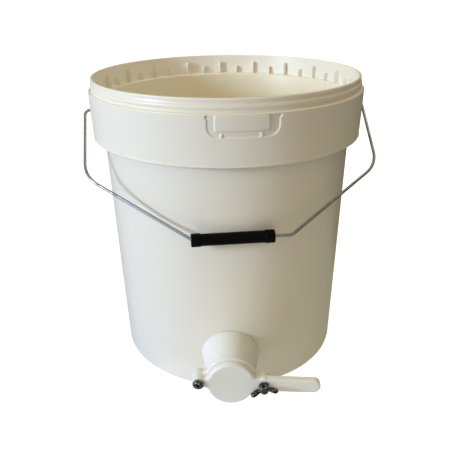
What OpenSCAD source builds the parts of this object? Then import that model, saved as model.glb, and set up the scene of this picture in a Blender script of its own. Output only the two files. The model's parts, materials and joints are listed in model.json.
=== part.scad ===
// Honey bucket with a wire bail and a swinging gate.
// The origin is the middle of the floor's underside, +Z is up and the gate points along -Y.

/* [Bucket] */
// Height of the bucket
bucket_h = 360; // [330:1:400]
// Outer radius of the wall at the floor
base_r = 142; // [136:0.5:146]
// Outer radius of the wall at the ledge
shoulder_r = 152; // [148:0.5:156]
// Thickness of the moulded wall
wall_t = 2.2; // [1.8:0.1:3]
// Thickness of the floor
floor_t = 3.5; // [3:0.1:6]
// Rounding of the outer edge round the floor
base_round = 8; // [5:0.5:12]
// Width of the stacking groove under the floor
groove_w = 12; // [6:1:20]
// Depth of the stacking groove
groove_depth = 1.5; // [0.5:0.1:2]

/* [Rim] */
// Depth of the inner ledge below the rim
ledge_drop = 24.5; // [22:0.5:30]
// Width of the inner ledge
ledge_w = 8; // [7:0.5:10]
// Thickness of the rim's upright wall
rim_t = 2.6; // [2:0.1:3.5]
// How far the lip band stands out at the top
lip_out = 0.7; // [0.3:0.1:1.2]
// Height of the lip band
lip_h = 3.5; // [2.5:0.1:4.5]
// Rounding of the rim's top edges
lip_round = 1.1; // [0.6:0.1:1.3]
// Radius of the bead that holds a lid
bead_r = 2.6; // [2:0.1:3]
// Depth of the bead's middle below the rim
bead_drop = 8.8; // [8:0.1:10]
// Number of gussets round the ledge
gusset_n = 40; // [20:2:60]
// Thickness of a gusset
gusset_t = 2; // [1.5:0.1:3]
// How far a gusset reaches in from the rim
gusset_w = 6; // [4:0.5:6.5]
// Height of the tall gussets
gusset_tall = 16; // [12:0.5:18]
// Height of the short gussets
gusset_short = 9.5; // [6:0.5:11]
// Turn of the ring of gussets
gusset_turn = 2.7; // [0:0.1:9]

/* [Skirt] */
// Depth of the skirt's top below the rim
skirt_drop = 14.5; // [13.5:0.5:17]
// Height of the skirt
skirt_h = 55.5; // [50:0.5:65]
// How far the skirt stands out from the rim's wall
skirt_out = 4.8; // [4:0.1:7]
// How far the skirt draws in towards its lower edge
skirt_lean = 2.2; // [0:0.1:3]
// Thickness of the skirt
skirt_t = 2.2; // [1.8:0.1:3]
// Rounding of the skirt's top edge
skirt_round = 1.5; // [0.8:0.1:1.7]
// Radius of the bead along the skirt's lower edge
hem_r = 1.5; // [1.2:0.1:2]

/* [Tear tab] */
// Width of the recess
tab_w = 73; // [68:1:90]
// Height of the recess
tab_h = 22; // [20:0.5:28]
// Rounding of the recess's lower corners
tab_round = 11; // [6:0.5:14]
// Depth of the recess
tab_depth = 1.2; // [0.6:0.1:1.4]
// Width of the raised panel
panel_w = 56; // [40:1:58]
// Height of the raised panel
panel_h = 13; // [8:0.5:15]
// Height of the panel above the recess
panel_raise = 1.5; // [0.6:0.1:2]
// Width of the bridges across the lower border
bridge_w = 2.6; // [1.5:0.1:4]
// Half the distance between the bridges
bridge_x = 20; // [14:0.5:22]
// Place of the bridges' middle, to the right of the tab's middle
bridge_shift = -2; // [-4:0.5:4]
// Width of the slits at the tab's upper corners
slit_w = 2.4; // [1.5:0.1:4]
// Height of the slits
slit_h = 3.6; // [2:0.1:6]

/* [Bail] */
// Turn of the bail and the tab from the gate
bail_turn = 5.5; // [0:0.5:15]
// Diameter of the wire
wire_d = 3.5; // [3:0.1:4]
// Depth of the pivot below the rim
bail_drop = 40.5; // [38:0.5:48]
// How far the grip reaches past the skirt as the bail swings round it
bail_reach = 24.8; // [17:0.1:55]
// Reach from the pivot to the knee of each leg
knee_reach = 100.5; // [88:0.5:115]
// How far the legs stand out from the skirt
leg_out = 7.6; // [7.5:0.1:14]
// How far the legs draw in between the pivot and the knee
leg_lean = 2.9; // [1:0.1:4.5]
// Half length of the straight that carries the grip
hand_half = 53.5; // [50:0.5:65]
// Bend radius at the knees
knee_bend = 40; // [12:1:44]
// Bend radius beside the grip
hand_bend = 8; // [6:0.5:12]
// Bend radius where the legs turn into the skirt
hook_bend = 7.2; // [4:0.1:7.4]
// Bend radius of the tails behind the skirt
tail_bend = 4.5; // [4:0.1:5]
// Length of the hooked tails
hook_l = 12; // [9:0.5:16]

/* [Grip] */
// Length of the grip
grip_l = 90.2; // [70:0.1:95]
// How far the grip reaches over the bend on the viewer's left
grip_over = 2.2; // [0:0.1:3]
// Diameter of the grip
grip_d = 13.4; // [12:0.1:16]
// Diameter of its end rings
grip_ring_d = 14.6; // [14:0.1:18]
// Length of its end rings
grip_ring_l = 10; // [7:0.5:14]
// Rounding of the end rings
grip_round = 1; // [0.5:0.1:2]

/* [Gate] */
// Height of the gate's axis
gate_z = 51; // [46:1:120]
// Turn of the gate, clockwise seen from the front
gate_turn = 3.5; // [0:0.5:10]
// Radius of the passage
gate_bore_r = 20; // [16:0.5:21]
// Wall of the threaded spigot
spigot_t = 4; // [3:0.1:5]
// Width of the flange round the passage
flange_w = 9; // [8:0.1:11]
// Thickness of the flange
flange_t = 8; // [6:0.5:10]
// Distance from the bucket's wall to the flap's front
gate_reach = 56.5; // [52:0.5:70]
// How far the barrel flares towards the bucket
barrel_flare = 5; // [0:0.5:7]
// How far the barrel draws in behind the flange
barrel_inset = 1.5; // [0:0.1:2.5]
// Radius of the pivot boss
boss_r = 7; // [6.8:0.1:9]
// Length of the pivot boss behind the flange
boss_l = 4.2; // [3:0.1:6]
// Radius of the clamp ear
ear_r = 8.5; // [7.5:0.1:10]
// Radius of the seal's cord
seal_cord_r = 1.5; // [1:0.1:1.7]
// Thickness of the gasket outside the wall
gasket_t = 1.5; // [1:0.1:3]
// Least thickness of the gasket inside the wall
inner_gasket_t = 1.5; // [1:0.1:3]
// Width of the inner gasket round the spigot
inner_gasket_w = 7; // [5:0.5:8]
// Thickness of the lock nut
lock_nut_t = 12; // [8:0.5:16]
// Width of the lock nut across its flats
lock_nut_af = 62; // [56:1:66]

/* [Flap] */
// Thickness of the flap and its lever
flap_t = 8; // [6:0.5:10]
// How far the flap's edge lies inside the flange's
flap_inset = 2.5; // [1:0.1:3]
// Length of the lever from the gate's axis
lever_l = 100.5; // [90:0.5:130]
// Height of the lever
lever_h = 16.5; // [13:0.5:17]
// Radius of the hook's eye
hook_eye_r = 9; // [8.5:0.1:11]
// Height of the neck at the pivot
neck_h = 11; // [9:0.5:13]

/* [Fasteners] */
// Diameter of the screw and the bolt
screw_d = 6; // [5:0.1:6.4]
// Diameter of the washer under the screw's head
pivot_washer_d = 13.6; // [12:0.1:14]
// Thickness of the washer under the screw's head
pivot_washer_t = 1.4; // [1:0.1:2]
// Diameter of the screw's head
head_d = 10.5; // [9:0.1:11.5]
// Height of the screw's head
head_h = 2.2; // [2:0.1:3.5]
// Width of the hex socket across its flats
socket_af = 4; // [3:0.1:5]
// Depth of the hex socket
socket_depth = 1.9; // [1.5:0.1:2.4]
// Width of the nut and the bolt head across their flats
hex_af = 10; // [9:0.1:11]
// Height of the pivot nut
nut_h = 6; // [5:0.1:8]
// Height of the bolt head
bolt_head_h = 4; // [3:0.1:5]
// Diameter of the clamp washer
washer_d = 12; // [11:0.1:12.6]
// Thickness of the clamp washer
washer_t = 1.6; // [1:0.1:2]
// Diameter of the wing nut's hub
hub_d = 11; // [10:0.1:13]
// Height of the wing nut's hub
hub_h = 8; // [6:0.1:10]
// How far the hub draws in towards its front
hub_taper = 1; // [0:0.1:1.5]
// Distance of the wing tips' middles from the bolt's axis
wing_x = 12; // [9:0.1:13]
// Height of the wing tips' middles
wing_z = 9.5; // [8:0.1:14]
// Radius of the wing tips
wing_tip_r = 3.4; // [2.5:0.1:4.5]
// Half width of a wing at its root
wing_root = 3; // [2:0.1:3.5]
// Thickness of the wings
wing_t = 3.2; // [2:0.1:4]
// Turn of the wing nut, as it was left
wing_turn = 15; // [0:1:90]

/* [Hidden] */
$fn = 96;

// How far a cut runs past the face that it opens
overrun = 1;
// Gap between pieces that are pressed or screwed together
seat_gap = 0.05;
// Radial gap of a turning fit
run_gap = 0.08;
// Gap between faces that slide past each other
slide_gap = 0.3;
// Gap between the grip and the wall that it leans on
rest_gap = 0.4;
// Gap round the spigot in the wall
hole_gap = 0.5;
// Length of spigot that shows past the lock nut
spigot_proud = 3;
// Bolt and screw ends that show past their nuts
end_proud = 1.5;
// Width of the slope on top of a gusset
gusset_slope = 2;
// Fillet between a disc and an arm that leaves it
arm_fillet = 6;
// Gap between the flange and the ears' bosses
ear_gap = 0.5;
// Gap between the bolt and the side of the hook's slot
hook_gap = 0.6;
// How far the wire swells in a bend
bend_swell = 0.02;
// How far the straights of the wire reach into a bend
bend_lap = 0.2;

// Slope of the wall and the heights that it runs between
ledge_z = bucket_h - ledge_drop;
wall_slope = (shoulder_r - base_r) / ledge_z;
wall_lean = atan(wall_slope);
function wall_r(z) = base_r + wall_slope * z;

// Radii of the rim and the skirt
rim_in_r = shoulder_r - wall_t + ledge_w;
rim_out_r = rim_in_r + rim_t;
skirt_top_z = bucket_h - skirt_drop;
skirt_low_z = skirt_top_z - skirt_h;
skirt_top_r = rim_out_r + skirt_out;
function skirt_r(z) = skirt_top_r - skirt_lean * (skirt_top_z - z) / skirt_h;

// The bail's places, across its axis and away from it
wire_r = wire_d / 2;
bail_z = bucket_h - bail_drop;
hand_reach = skirt_top_r + bail_reach;
leg_x = skirt_r(bail_z) + leg_out;
tail_x = (skirt_r(bail_z) - skirt_t + wall_r(bail_z)) / 2;
hand_angle = atan2(hand_reach - knee_reach, leg_x - leg_lean - hand_half);
grip_r = grip_d / 2;
// Angle from straight down at which the grip leans on the wall
bail_dip = asin((wall_r(bail_z) + grip_r + rest_gap) * cos(wall_lean) / hand_reach) - wall_lean;

// The gate's radii, and its places along its axis from the bucket's axis
spigot_r = gate_bore_r + spigot_t;
flange_r = gate_bore_r + flange_w;
flap_r = flange_r - flap_inset;
barrel_front_r = flange_r - barrel_inset;
barrel_back_r = flange_r + barrel_flare;
seal_r = (gate_bore_r + flap_r) / 2;
ear_x = flange_r + boss_r + ear_gap;
inner_gasket_r = spigot_r + inner_gasket_w;
wall_y = wall_r(gate_z);
flap_front = wall_y + gate_reach;
flap_back = flap_front - flap_t;
flange_front = flap_back - slide_gap;
flange_back = flange_front - flange_t;
boss_back = flange_back - boss_l;
nut_seat = sqrt(pow(wall_y - wall_t, 2) - pow(inner_gasket_r, 2)) - inner_gasket_t;
spigot_end = nut_seat - lock_nut_t - spigot_proud;

// Fastener radii, and the seats of the washers and the wing nut
screw_r = screw_d / 2;
washer_seat = flap_front + slide_gap;
wing_seat = washer_seat + washer_t + slide_gap;

// Placing

// The gate's frame: its axis is Z, which points away from the bucket
module at_gate() {
    translate([0, 0, gate_z]) rotate([90, 0, 0]) rotate([0, 0, -gate_turn]) children();
}

module at_pivot(z) {
    at_gate() translate([-ear_x, 0, z]) children();
}

module at_clamp(z) {
    at_gate() translate([ear_x, 0, z]) children();
}

// The bail's frame: X is its axis and Y runs along its legs
module at_bail() {
    translate([0, 0, bail_z]) rotate([0, 0, bail_turn]) rotate([270 - bail_dip, 0, 0]) children();
}

// Shared shapes

// Half outline of a tapered cup, drawn in from the wall's outside
module cup_outline(inset, low, high, round_r) {
    corner = [wall_r(low + round_r) - inset - round_r / cos(wall_lean), low + round_r];
    tangent = corner + round_r * [cos(wall_lean), -sin(wall_lean)];
    polygon([[0, low], [corner.x, low], tangent, [wall_r(high) - inset, high], [0, high]]);
    translate(corner) circle(round_r);
}

// The space inside the wall's outer cone, grown by a gap
module wall_space(gap) {
    cylinder(h = ledge_z, r1 = base_r + gap, r2 = shoulder_r + gap, $fn = 360);
}

// A band of the skirt between two depths below its outer face
module skirt_band(outer, inner, low, high) {
    rotate_extrude() polygon([
        [skirt_r(low) - inner, low], [skirt_r(low) - outer, low],
        [skirt_r(high) - outer, high], [skirt_r(high) - inner, high]]);
}

// A plate outline stood up in front of the bucket, turned with the bail
module through_skirt(low) {
    rotate([0, 0, bail_turn]) translate([0, 0, low]) rotate([90, 0, 0])
        linear_extrude(skirt_top_r + overrun) children();
}

// A plate with rounded lower corners, on its lower edge
module tray_outline(w, h, r) {
    translate([-w / 2, r]) square([w, h - r]);
    translate([-w / 2 + r, 0]) square([w - 2 * r, r]);
    for (s = [-1, 1]) translate([s * (w / 2 - r), r]) circle(r);
}

// A ring plate
module ring(outer_r, inner_r, t) {
    difference() {
        cylinder(h = t, r = outer_r);
        translate([0, 0, -overrun]) cylinder(h = t + 2 * overrun, r = inner_r);
    }
}

// A hexagonal prism of a width across its flats, with a bore
module hex_nut(af, h, bore_r) {
    difference() {
        cylinder(h = h, r = af / 2 / cos(30), $fn = 6);
        translate([0, 0, -overrun]) cylinder(h = h + 2 * overrun, r = bore_r);
    }
}

// A plate arm from a disc to a round end, filleted where it leaves the disc
module disc_arm(disc_r, reach, half_h, end_r, t) {
    fillet = [sqrt(pow(disc_r + arm_fillet, 2) - pow(half_h + arm_fillet, 2)), half_h + arm_fillet];
    translate([0, -half_h, 0]) cube([reach, 2 * half_h, t]);
    translate([reach, 0, 0]) cylinder(h = t, r = end_r);
    for (s = [0, 1]) mirror([0, s, 0]) linear_extrude(t) difference() {
        polygon([[0, 0], fillet, [fillet.x, half_h]]);
        translate(fillet) circle(arm_fillet);
    }
}

// One bend of the wire, as an arc between two straights
function unit(v) = v / norm(v);
function bend_angle(a, b, c) = acos(unit(b - a) * unit(c - b));
function bend_run(a, b, c, r) = r * tan(bend_angle(a, b, c) / 2);
function bend_side(a, b, c) = sign(cross(b - a, c - b));

module wire_straight(a, b) {
    d = b - a;
    translate([a.x, a.y, 0]) rotate([0, 0, atan2(d.y, d.x)]) rotate([0, 90, 0])
        cylinder(h = norm(d), r = wire_r);
}

module wire_bend(a, b, c, r) {
    side = bend_side(a, b, c);
    angle = bend_angle(a, b, c);
    into = unit(b - a);
    start = b - bend_run(a, b, c, r) * into;
    middle = start + side * r * [-into.y, into.x];
    first = atan2(into.y, into.x) - side * 90 - (side < 0 ? angle : 0);
    translate([middle.x, middle.y, 0]) rotate([0, 0, first])
        rotate_extrude(angle = angle) translate([r, 0]) circle(wire_r + bend_swell);
}

// A flat wire along corner points, bent at each by its own radius
module bent_wire(points, bends) {
    last = len(points) - 1;
    trim = [for (i = [0:last]) i == 0 || i == last ? 0
        : bend_run(points[i - 1], points[i], points[i + 1], bends[i]) - bend_lap];
    for (i = [0:last - 1]) {
        along = unit(points[i + 1] - points[i]);
        wire_straight(points[i] + trim[i] * along, points[i + 1] - trim[i + 1] * along);
    }
    for (i = [1:last - 1]) wire_bend(points[i - 1], points[i], points[i + 1], bends[i]);
}

// Bucket

// Half section of the moulding
module bucket_section() {
    difference() {
        cup_outline(0, 0, ledge_z, base_round);
        cup_outline(wall_t, floor_t, ledge_z + overrun, base_round - wall_t);
        translate([base_r - base_round - 2 * groove_w, -overrun]) square([groove_w, groove_depth + overrun]);
    }
    // Ledge and upright rim
    translate([shoulder_r - wall_t, ledge_z - wall_t]) square([rim_out_r - shoulder_r + wall_t, wall_t]);
    translate([rim_in_r, ledge_z - wall_t]) square([rim_t, ledge_drop + wall_t - lip_round]);
    translate([rim_in_r, bucket_h - lip_h]) square([rim_t + lip_out, lip_h - lip_round]);
    translate([rim_in_r + lip_round, bucket_h - lip_h]) square([rim_t + lip_out - 2 * lip_round, lip_h]);
    translate([rim_in_r + lip_round, bucket_h - lip_round]) circle(lip_round);
    translate([rim_out_r + lip_out - lip_round, bucket_h - lip_round]) circle(lip_round);
    // Bead that a lid snaps under
    translate([rim_out_r, bucket_h - bead_drop]) intersection() {
        circle(bead_r);
        translate([-rim_t, -bead_r]) square([rim_t + bead_r, 2 * bead_r]);
    }
    // Web and hanging skirt
    translate([rim_in_r, skirt_top_z - skirt_t]) square([skirt_top_r - skirt_round - rim_in_r, skirt_t]);
    translate([skirt_top_r - skirt_round, skirt_top_z - skirt_round]) circle(skirt_round);
    polygon([
        [skirt_r(skirt_low_z) - skirt_t, skirt_low_z + hem_r], [skirt_r(skirt_low_z), skirt_low_z + hem_r],
        [skirt_top_r, skirt_top_z - skirt_round], [skirt_top_r - skirt_t, skirt_top_z - skirt_round]]);
    translate([skirt_r(skirt_low_z) - skirt_t / 2, skirt_low_z + hem_r]) circle(hem_r);
}

// Upright gusset between the ledge and the rim
module gusset(h) {
    rotate([90, 0, 0]) translate([0, 0, -gusset_t / 2]) linear_extrude(gusset_t) polygon([
        [rim_in_r - gusset_w, ledge_z - wall_t / 2], [rim_in_r + rim_t / 2, ledge_z - wall_t / 2],
        [rim_in_r + rim_t / 2, ledge_z + h], [rim_in_r - gusset_w + gusset_slope, ledge_z + h],
        [rim_in_r - gusset_w, ledge_z + h - gusset_slope]]);
}

// Recess of the tear tab, with its slits and without its panel
module tab_cut() {
    low = skirt_top_z - skirt_round - tab_h;
    difference() {
        intersection() {
            through_skirt(low) tray_outline(tab_w, tab_h, tab_round);
            skirt_band(-overrun, tab_depth, skirt_low_z, skirt_top_z);
        }
        through_skirt(low) for (s = [-1, 1])
            translate([bridge_shift + s * bridge_x - bridge_w / 2, 0]) square([bridge_w, (tab_h - panel_h) / 2]);
    }
    intersection() {
        through_skirt(skirt_top_z - skirt_round - slit_h) for (s = [-1, 1])
            translate([s * tab_w / 2 - slit_w / 2, 0]) square([slit_w, slit_h]);
        skirt_band(-overrun, skirt_t + overrun, skirt_low_z, skirt_top_z);
    }
}

// Raised panel in the tab's recess
module tab_panel() {
    intersection() {
        through_skirt(skirt_top_z - skirt_round - (tab_h + panel_h) / 2) translate([-panel_w / 2, 0])
            square([panel_w, panel_h]);
        skirt_band(tab_depth - panel_raise, (tab_depth + skirt_t) / 2, skirt_low_z, skirt_top_z);
    }
}

module bucket() {
    color("#ece9df") {
        difference() {
            rotate_extrude() bucket_section();
            tab_cut();
            at_gate() translate([0, 0, nut_seat])
                cylinder(h = wall_y + overrun - nut_seat, r = spigot_r + hole_gap);
            // Holes for the bail's hooked ends
            for (s = [0, 1]) translate([0, 0, bail_z]) rotate([0, 0, bail_turn + 180 * s])
                translate([tail_x, 0, 0]) rotate([0, 90, 0])
                    cylinder(h = leg_x - tail_x, r = wire_r + slide_gap);
        }
        for (i = [0:gusset_n - 1]) rotate([0, 0, gusset_turn + 360 * i / gusset_n])
            gusset(i % 2 == 0 ? gusset_tall : gusset_short);
        tab_panel();
    }
}

// Bail

module bail_wire() {
    half = [[tail_x, -hook_l], [tail_x, 0], [leg_x, 0],
            [leg_x - leg_lean, knee_reach], [hand_half, hand_reach]];
    bends = [0, tail_bend, hook_bend, knee_bend, hand_bend];
    last = len(half) - 1;
    color("#8f9294") at_bail() bent_wire(
        concat(half, [for (i = [last:-1:0]) [-half[i].x, half[i].y]]),
        concat(bends, [for (i = [last:-1:0]) bends[i]]));
}

// The grip has slid to the viewer's left, where its wide mouth takes the bend
module bail_grip() {
    ring_r = grip_ring_d / 2;
    mouth_r = grip_over * tan(hand_angle) + wire_r / cos(hand_angle) + 2 * slide_gap;
    color("#141414") at_bail() translate([-hand_half - grip_over, hand_reach, 0]) rotate([0, 90, 0])
        rotate_extrude() difference() {
            union() {
                translate([0, grip_ring_l / 2]) square([grip_r, grip_l - grip_ring_l]);
                for (z = [0, grip_l - grip_ring_l]) translate([0, z]) {
                    translate([0, grip_round]) square([ring_r, grip_ring_l - 2 * grip_round]);
                    square([ring_r - grip_round, grip_ring_l]);
                    for (end = [grip_round, grip_ring_l - grip_round])
                        translate([ring_r - grip_round, end]) circle(grip_round);
                }
            }
            translate([0, -overrun]) square([wire_r + slide_gap, grip_l + 2 * overrun]);
            for (z = [-overrun, grip_l - grip_ring_l]) translate([0, z])
                square([mouth_r, grip_ring_l + overrun]);
        }
}

// Gate

module gate_body() {
    color("#f1efe6") difference() {
        union() {
            // Barrel, shaped to the bucket's wall
            difference() {
                at_gate() {
                    translate([0, 0, nut_seat]) cylinder(h = wall_y - nut_seat, r = barrel_back_r);
                    translate([0, 0, wall_y])
                        cylinder(h = flange_back - wall_y, r1 = barrel_back_r, r2 = barrel_front_r);
                }
                wall_space(gasket_t);
            }
            at_gate() translate([0, 0, spigot_end]) cylinder(h = flange_back - spigot_end, r = spigot_r);
            at_gate() translate([0, 0, flange_back]) {
                cylinder(h = flange_t, r = flange_r);
                disc_arm(flange_r, ear_x, neck_h / 2, ear_r, flange_t);
                mirror([1, 0, 0]) disc_arm(flange_r, ear_x, neck_h / 2, boss_r, flange_t);
            }
            at_pivot(boss_back) cylinder(h = boss_l, r = boss_r);
        }
        at_gate() translate([0, 0, spigot_end - overrun])
            cylinder(h = flange_front - spigot_end + 2 * overrun, r = gate_bore_r);
        at_gate() translate([0, 0, flange_front - 2 * seal_cord_r - seat_gap])
            ring(seal_r + seal_cord_r + seat_gap, seal_r - seal_cord_r - seat_gap, 2 * seal_cord_r + overrun);
        at_pivot(boss_back - overrun) cylinder(h = boss_l + flange_t + 2 * overrun, r = screw_r + seat_gap);
        // Pocket that holds the pivot nut
        at_pivot(boss_back - overrun) rotate([0, 0, 30])
            cylinder(h = nut_h + overrun, r = (hex_af / 2 + seat_gap) / cos(30), $fn = 6);
        at_clamp(flange_back - overrun) cylinder(h = flange_t + 2 * overrun, r = screw_r + seat_gap);
    }
}

// The slot that lets the hook off the clamp bolt, round the pivot
module hook_slot() {
    slot_r = screw_r + hook_gap;
    translate([ear_x, 0]) circle(slot_r);
    intersection() {
        translate([-ear_x, 0]) difference() {
            circle(2 * ear_x + slot_r);
            circle(2 * ear_x - slot_r);
        }
        translate([0, -hook_eye_r - overrun]) square([lever_l, hook_eye_r + overrun]);
    }
}

module gate_flap() {
    color("#dcdcd7") difference() {
        at_gate() translate([0, 0, flap_back]) {
            cylinder(h = flap_t, r = flap_r);
            mirror([1, 0, 0]) disc_arm(flap_r, ear_x, neck_h / 2, boss_r, flap_t);
            disc_arm(flap_r, lever_l - lever_h / 2, lever_h / 2, lever_h / 2, flap_t);
            translate([ear_x, 0, 0]) cylinder(h = flap_t, r = hook_eye_r);
        }
        at_gate() translate([0, 0, flap_back - overrun]) linear_extrude(flap_t + 2 * overrun) hook_slot();
        at_pivot(flap_back - overrun) cylinder(h = flap_t + 2 * overrun, r = screw_r + run_gap);
    }
}

module face_seal() {
    color("#d9d4c4") at_gate() translate([0, 0, flange_front - seal_cord_r]) rotate_extrude()
        translate([seal_r, 0]) circle(seal_cord_r);
}

module outer_gasket() {
    color("#d9d4c4") intersection() {
        difference() {
            at_gate() translate([0, 0, nut_seat])
                ring(barrel_back_r, spigot_r + hole_gap, flange_back - nut_seat);
            wall_space(seat_gap);
        }
        wall_space(gasket_t - seat_gap);
    }
}

module inner_gasket() {
    color("#d9d4c4") intersection() {
        at_gate() translate([0, 0, nut_seat]) ring(inner_gasket_r, spigot_r + hole_gap, wall_y - nut_seat);
        wall_space(-wall_t - seat_gap);
    }
}

module lock_nut() {
    color("#f1efe6") at_gate() translate([0, 0, nut_seat - lock_nut_t - seat_gap]) rotate([0, 0, 30])
        hex_nut(lock_nut_af, lock_nut_t, spigot_r + run_gap);
}

// Fasteners

module pivot_screw() {
    head_under = washer_seat + pivot_washer_t;
    shank_end = boss_back - end_proud;
    color("#77797a") difference() {
        at_pivot(0) {
            translate([0, 0, shank_end]) cylinder(h = head_under - shank_end, r = screw_r);
            translate([0, 0, head_under]) cylinder(h = head_h, r1 = head_d / 2, r2 = (head_d + socket_af) / 4);
        }
        at_pivot(head_under + head_h - socket_depth)
            cylinder(h = socket_depth + overrun, r = socket_af / 2 / cos(30), $fn = 6);
    }
}

module pivot_washer() {
    color("#77797a") at_pivot(washer_seat) ring(pivot_washer_d / 2, screw_r + seat_gap, pivot_washer_t);
}

module pivot_nut() {
    color("#77797a") at_pivot(boss_back) rotate([0, 0, 30]) hex_nut(hex_af, nut_h, screw_r + seat_gap);
}

module clamp_bolt() {
    color("#77797a") {
        at_clamp(flange_back - bolt_head_h) cylinder(h = bolt_head_h, r = hex_af / 2 / cos(30), $fn = 6);
        at_clamp(flange_back) cylinder(h = wing_seat + hub_h + end_proud - flange_back, r = screw_r);
    }
}

module clamp_washer() {
    color("#77797a") at_clamp(washer_seat) ring(washer_d / 2, screw_r + seat_gap, washer_t);
}

// One wing, drawn in the plane of the bolt's axis
module wing() {
    root = [hub_d / 4, hub_h / 2];
    tip = [wing_x, wing_z];
    across = [root.y - tip.y, tip.x - root.x] / norm(tip - root);
    rotate([90, 0, 0]) translate([0, 0, -wing_t / 2]) linear_extrude(wing_t) {
        polygon([root - wing_root * across, tip - wing_tip_r * across,
                 tip + wing_tip_r * across, root + wing_root * across]);
        translate(tip) circle(wing_tip_r);
    }
}

module wing_nut() {
    color("#77797a") at_clamp(wing_seat) rotate([0, 0, wing_turn]) difference() {
        union() {
            cylinder(h = hub_h, r1 = hub_d / 2, r2 = hub_d / 2 - hub_taper);
            wing();
            rotate([0, 0, 180]) wing();
        }
        translate([0, 0, -overrun]) cylinder(h = wing_z + wing_tip_r + 2 * overrun, r = screw_r + run_gap);
    }
}

bucket();
bail_wire();
bail_grip();
gate_body();
gate_flap();
pivot_screw();
pivot_washer();
pivot_nut();
clamp_bolt();
clamp_washer();
wing_nut();
face_seal();
outer_gasket();
inner_gasket();
lock_nut();
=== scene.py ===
"""Dresses the honey bucket: a white moulded shell, a wire bail with its grip, and the swinging gate."""
import json
import math

import bmesh
import bpy
import numpy as np
from mathutils import Matrix, Vector


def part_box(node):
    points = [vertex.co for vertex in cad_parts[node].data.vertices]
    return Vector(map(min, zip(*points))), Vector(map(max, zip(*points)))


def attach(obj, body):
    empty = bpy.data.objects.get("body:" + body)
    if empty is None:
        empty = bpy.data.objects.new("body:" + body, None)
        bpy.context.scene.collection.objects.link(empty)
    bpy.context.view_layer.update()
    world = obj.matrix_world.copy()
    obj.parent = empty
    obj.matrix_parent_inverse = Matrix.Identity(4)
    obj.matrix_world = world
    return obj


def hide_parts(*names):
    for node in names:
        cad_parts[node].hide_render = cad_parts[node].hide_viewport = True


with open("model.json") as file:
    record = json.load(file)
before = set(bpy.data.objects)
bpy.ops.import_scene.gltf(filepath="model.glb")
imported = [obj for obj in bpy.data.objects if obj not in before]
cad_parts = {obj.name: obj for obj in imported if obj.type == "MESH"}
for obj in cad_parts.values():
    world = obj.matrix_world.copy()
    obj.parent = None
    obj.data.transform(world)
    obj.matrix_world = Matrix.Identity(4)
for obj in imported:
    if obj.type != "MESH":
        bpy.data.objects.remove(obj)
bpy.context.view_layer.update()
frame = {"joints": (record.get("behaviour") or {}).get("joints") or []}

MM = 0.001
TURN = 2 * math.pi

# Sizes of the bucket's moulding, in millimetres and degrees
BASE_R = 142
SHOULDER_R = 152
WALL_T = 2.2
FLOOR_T = 3.5
BASE_ROUND = 8
GROOVE_IN_R = 110
GROOVE_W = 12
GROOVE_DEPTH = 1.5
SPRUE_R = 12.5
SPRUE_DEPTH = 0.9
SPRUE_ROUND = 0.5
LEDGE_DROP = 24.5
LEDGE_W = 8
LEDGE_ROUND = 3
WEB_ROUND = 1.2
RIM_FILLET = 1
RIM_T = 2.6
LIP_OUT = 0.7
LIP_H = 3.5
LIP_ROUND = 1.1
LIP_FILLET = 0.3
BEAD_OUT = 1.8
BEAD_HALF = 2.6
BEAD_DROP = 8.8
BEAD_SWEEP = 78
SKIRT_DROP = 14.5
SKIRT_H = 55.5
SKIRT_OUT = 4.8
SKIRT_LEAN = 2.2
SKIRT_T = 2.2
SKIRT_ROUND = 1.5
SKIRT_SWEEP = (10, 90)
HEM_R = 1.5
HEM_SWEEP = (152, 388)
EDGE_ROUND = 0.6
# How far the dressed skirt stays inside the solid one
SKIN = 0.05

# Gussets on the ledge
GUSSET_PAIRS = 20
GUSSET_T = 2
GUSSET_W = 6
GUSSET_TALL = 16
GUSSET_SHORT = 9.5
GUSSET_SLOPE = 2
GUSSET_ROUND = 1
GUSSET_EDGE = 0.4
GUSSET_TURN = math.radians(2.7)

# Tear tab on the skirt
TAB_W = 73
TAB_H = 22
TAB_ROUND = 11
TAB_DEPTH = 1.25
PANEL_W = 53.6
PANEL_H = 14.2
PANEL_SHIFT = -1.4
PANEL_LIFT = 2.8
PANEL_ROUND = 1.2
PANEL_RAISE = 2.9
BRIDGE_W = 2.6
BRIDGE_H = 3.8
BRIDGE_X = 20
BRIDGE_SHIFT = -2
SLIT_W = 2.4
SLIT_H = 3.6
SLIT_DEPTH = 2
TAB_EDGE = 1.4
PANEL_EDGE = 3.6
TAB_STEP = 0.5
TAB_REACH = 0.01
WIDE_COLUMNS = 220

# Bail and grip
WIRE_R = 1.75
KNEE_REACH = 100.5
LEG_OUT = 7.6
LEG_LEAN = 2.9
HAND_HALF = 53.5
KNEE_BEND = 40
HAND_BEND = 8
HOOK_BEND = 7.2
TAIL_BEND = 4.5
HOOK_L = 12
WIRE_END = 0.4
WIRE_SIDES = 24
WIRE_HOLE_GAP = 0.3
GRIP_L = 90.2
GRIP_OVER = 2.2
GRIP_R = 6.7
GRIP_RING_R = 7.3
GRIP_RING_L = 10
GRIP_MOUTH_R = 4.5
GRIP_BORE_R = 2.05
GRIP_STEP_L = 0.9
GRIP_MOUTH_ROUND = 0.5
GRIP_END_ROUND = 1
GRIP_RING_ROUND = 0.8
GRIP_STEP_ROUND = 0.5
GRIP_BORE_ROUND = 0.3
GRIP_SEAM = 0.12
GRIP_SEAM_HALF = 0.45

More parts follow.
